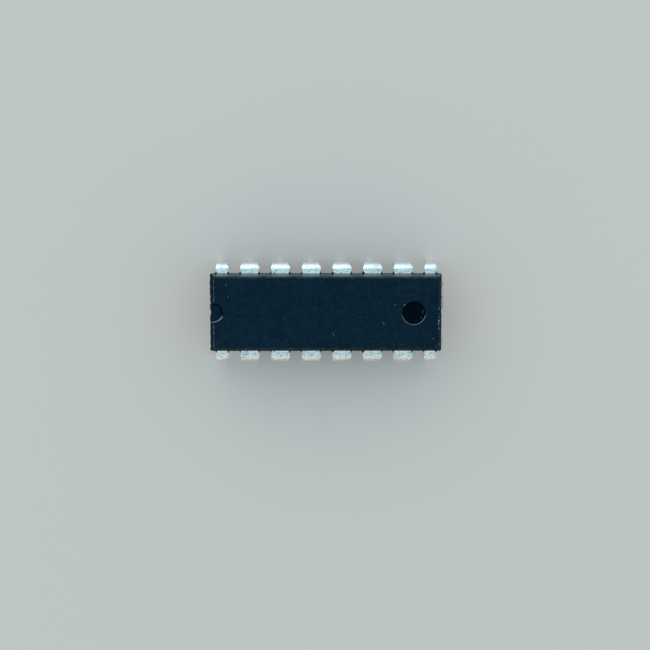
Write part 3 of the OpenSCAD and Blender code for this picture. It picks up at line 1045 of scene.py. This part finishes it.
def build_lead(settings, number, draw):
    """Mesh of one lead: a stamped blank with rounded edges, bent over and put in its place."""
    k = (number - 1) % ROW
    rank = ROW // 2 - 1 - k if k < ROW // 2 else k - ROW // 2
    half = settings.strip / MM / 2
    bend_mid = settings.bend_radius / MM + half
    lean = draw.uniform(-settings.splay, settings.splay)
    flipped = (k < ROW // 2) != (number > ROW)
    bias = settings.corner_bias / MM * (-1 if flipped else 1)
    outline = counter_clockwise(lead_outline(settings, rank, bend_mid, bias))
    upper = settings.upper_edge / MM
    lower = settings.lower_edge / MM
    levels = [(lower * (1 - math.sin(a)), -half + lower * (1 - math.cos(a))) for a in EDGE_ANGLES]
    levels += [(upper * (1 - math.cos(a)), half - upper * (1 - math.sin(a))) for a in EDGE_ANGLES]
    bm = bmesh.new()
    rings = []
    for set_in, height in levels:
        points = inset(outline, set_in)
        rings.append(add_ring(bm, [(p.x, p.y, height) for p in points]))
    for low, high in zip(rings, rings[1:]):
        bridge(bm, low, high)
    bm.faces.new(list(reversed(rings[0])))
    bm.faces.new(rings[-1])
    cuts = [bend_mid * math.pi / 2 * i / BEND_STEPS for i in range(BEND_STEPS + 1)]
    for cut in cuts + LEG_CUTS:
        parts = bm.verts[:] + bm.edges[:] + bm.faces[:]
        bmesh.ops.bisect_plane(bm, geom=parts, plane_co=(0, cut, 0), plane_no=(0, 1, 0), dist=1e-5)
    bend_strip(settings, bm, bend_mid, lean)
    turn = Matrix.Rotation(math.pi if number > ROW else 0, 4, "Z")
    mirror = Matrix.Diagonal((-1 if k < ROW // 2 else 1, 1, 1, 1))
    bmesh.ops.transform(bm, matrix=turn @ mirror, verts=bm.verts)
    bmesh.ops.recalc_face_normals(bm, faces=bm.faces)
    return bm


class ChipBuildLeads(bpy.types.Operator):
    """Build the sixteen trimmed and formed leads"""

    bl_idname = "chip.build_leads"
    bl_label = "Leads"

    def execute(self, context):
        settings = context.scene.chip_leads
        tin = tin_material(settings)
        draw = random.Random(settings.seed)
        for number in LEADS:
            lead = mesh_object(f"tinned_lead_{number}", build_lead(settings, number, draw), (tin,))
            finish_piece(lead, sharp_degrees=40)
            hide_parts(f"lead_{number}")
        return {"FINISHED"}


def dress(node, material):
    """Gives a CAD node a new material."""
    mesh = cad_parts[node].data
    mesh.materials.clear()
    mesh.materials.append(material)


class ChipDressPad(bpy.types.Operator):
    """Finish the die pad and its tie bars in spot-plated copper alloy"""

    bl_idname = "chip.dress_pad"
    bl_label = "Die Pad"

    def execute(self, context):
        dress("die_pad", copper_material(context.scene.chip_inner))
        return {"FINISHED"}


class ChipDressDie(bpy.types.Operator):
    """Finish the die in polished silicon with metal tracks"""

    bl_idname = "chip.dress_die"
    bl_label = "Silicon Die"

    def execute(self, context):
        dress("silicon_die", silicon_material(context.scene.chip_inner))
        return {"FINISHED"}


class ChipDressWires(bpy.types.Operator):
    """Finish the sixteen bond wires in drawn gold"""

    bl_idname = "chip.dress_wires"
    bl_label = "Bond Wires"

    def execute(self, context):
        gold = gold_material(context.scene.chip_inner)
        for number in LEADS:
            dress(f"bond_wire_{number}", gold)
        return {"FINISHED"}


def floor_material(settings):
    """Plain matt floor that can be seen through from below."""
    maker = new_material("floor")
    cloth = maker.noise(maker.millimetres(), 0.02, detail=2)
    maker.set(
        Base_Color=maker.blend(maker.ramp(cloth, 0.3, 0.7, 0.0, 0.04), settings.floor, (0.5, 0.5, 0.5)),
        Roughness=0.9,
        Specular_IOR_Level=0.1,
    )
    clear = maker.node("ShaderNodeBsdfTransparent", {})
    below = maker.node("ShaderNodeNewGeometry", {}, "Backfacing")
    seen = maker.node("ShaderNodeMixShader", {0: below, 1: maker.shader.outputs[0], 2: clear})
    maker.plug(maker.tree.nodes["Material Output"].inputs["Surface"], seen)
    return maker.owner


def soft_room(settings):
    """Soft light from all round, with a colour of its own from behind, above and in front."""
    maker = NodeMaker(bpy.data.worlds.new("soft_room"))
    side = maker.split(maker.node("ShaderNodeTexCoord", {}, "Generated"))[1]
    front = maker.blend(maker.ramp(side, -0.5, 0.0), settings.front_light, settings.top_light)
    light = maker.blend(maker.ramp(side, 0.0, 0.6), front, settings.back_light)
    maker.plug(maker.tree.nodes["Background"].inputs["Color"], light)
    return maker.owner


def aim(thing, place, forward, up):
    """Puts a camera or lamp at a place, looking forward with its top up."""
    forward = Vector(forward).normalized()
    right = forward.cross(Vector(up)).normalized()
    top = right.cross(forward)
    turn = Matrix((right, top, -forward)).transposed().to_4x4()
    thing.matrix_world = Matrix.Translation(place) @ turn


# Place and sides of the large lamp, in metres
KEY_PLACE = (-0.16, 0.30, 0.42)
KEY_SIDES = (0.62, 0.46)


def add_key_lamp(power):
    """The large rectangular lamp, aimed at the chip."""
    data = bpy.data.lights.new("key_lamp", "AREA")
    data.shape = "RECTANGLE"
    data.size, data.size_y = KEY_SIDES
    data.energy = power
    lamp = bpy.data.objects.new("key_lamp", data)
    bpy.context.scene.collection.objects.link(lamp)
    aim(lamp, KEY_PLACE, -Vector(KEY_PLACE), (1, 0, 0.01))


# Where the camera stands in metres, which way it looks and which way its top points
CAMERA_PLACE = (-0.00319, 0.00789, 0.12499)
CAMERA_FORWARD = (0.0257, -0.0747, -0.9969)
CAMERA_UP = (0.0003, 0.9972, -0.0747)


def add_camera(lens):
    """The camera that looks down on the chip."""
    data = bpy.data.cameras.new("camera")
    data.lens = lens
    data.clip_start, data.clip_end = 0.001, 10
    camera = bpy.data.objects.new("camera", data)
    bpy.context.scene.collection.objects.link(camera)
    aim(camera, CAMERA_PLACE, CAMERA_FORWARD, CAMERA_UP)
    return camera


class ChipBuildStage(bpy.types.Operator):
    """Build the floor, the large lamp, the even light and the camera"""

    bl_idname = "chip.build_stage"
    bl_label = "Stage"

    def execute(self, context):
        settings = context.scene.chip_stage
        scene = context.scene
        bm = bmesh.new()
        bmesh.ops.create_grid(bm, x_segments=8, y_segments=8, size=settings.floor_size / 2)
        floor = mesh_object("floor", bm, (floor_material(settings),))
        scene.world = soft_room(settings)
        add_key_lamp(settings.key)
        scene.camera = add_camera(settings.lens)
        scene.view_settings.view_transform = "Standard"
        return {"FINISHED"}


class ChipPanel(bpy.types.Panel):
    """Operators and settings of the chip."""

    bl_idname = "VIEW3D_PT_chip"
    bl_label = "Dual In-line Chip"
    bl_space_type = "VIEW_3D"
    bl_region_type = "UI"
    bl_category = "Chip"

    def draw(self, context):
        for group, (_, *operators) in GROUPS.items():
            box = self.layout.box()
            for operator in operators:
                box.operator(operator.bl_idname)
            settings = getattr(context.scene, group)
            for name in settings.__annotations__:
                box.prop(settings, name)


# Settings groups of the scene with the operators that use them
GROUPS = {
    "chip_body": (ChipBodySettings, ChipBuildBody),
    "chip_leads": (ChipLeadSettings, ChipBuildLeads),
    "chip_inner": (ChipInnerSettings, ChipDressPad, ChipDressDie, ChipDressWires),
    "chip_stage": (ChipStageSettings, ChipBuildStage),
}
CLASSES = [*sum(GROUPS.values(), ()), ChipPanel]


def register():
    for kind in CLASSES:
        bpy.utils.register_class(kind)
    for name, (group, *_) in GROUPS.items():
        setattr(bpy.types.Scene, name, PointerProperty(type=group))


def unregister():
    for name in GROUPS:
        delattr(bpy.types.Scene, name)
    for kind in reversed(CLASSES):
        bpy.utils.unregister_class(kind)


def main():
    register()
    bpy.ops.chip.build_body()
    bpy.ops.chip.build_leads()
    bpy.ops.chip.dress_pad()
    bpy.ops.chip.dress_die()
    bpy.ops.chip.dress_wires()
    bpy.ops.chip.build_stage()
    bpy.context.view_layer.update()


if __name__ == "__main__":
    main()
